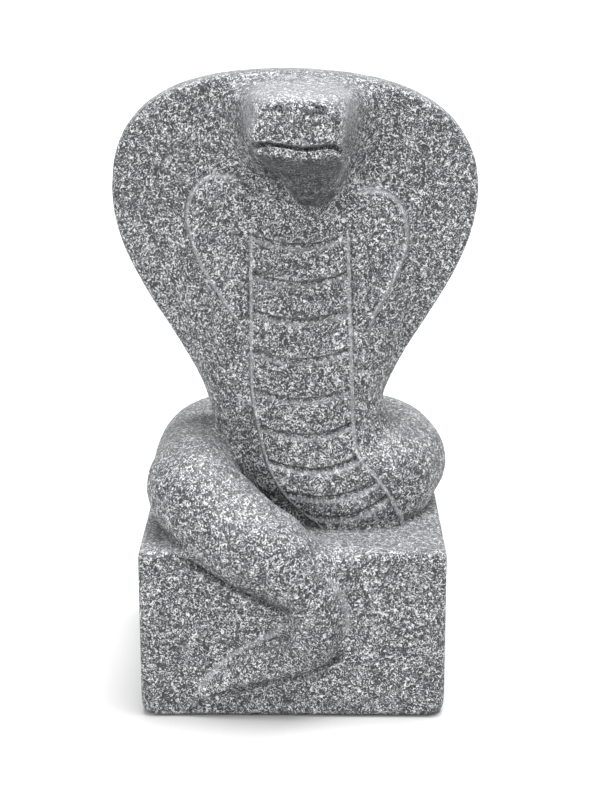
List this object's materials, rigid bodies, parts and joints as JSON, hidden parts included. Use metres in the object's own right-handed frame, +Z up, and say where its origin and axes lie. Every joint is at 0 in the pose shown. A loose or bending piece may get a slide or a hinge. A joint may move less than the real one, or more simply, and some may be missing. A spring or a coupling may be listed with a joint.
{
  "type": "snake idol",
  "caption": "Rearing cobra with a spread hood, carved in one with its square block; the body coils on top and the tail hangs over the front.",
  "frame": {"origin": "centre of the block's underside, on the surface it stands on", "axes": "+Z up, the snake faces -Y, +X is on the right of someone who looks at its face"},
  "size_m": [0.2288, 0.2096, 0.393],
  "materials": {
    "granite": "matte"
  },
  "bodies": {
    "root": {"cobra_idol": "granite"}
  },
  "joints": []
}
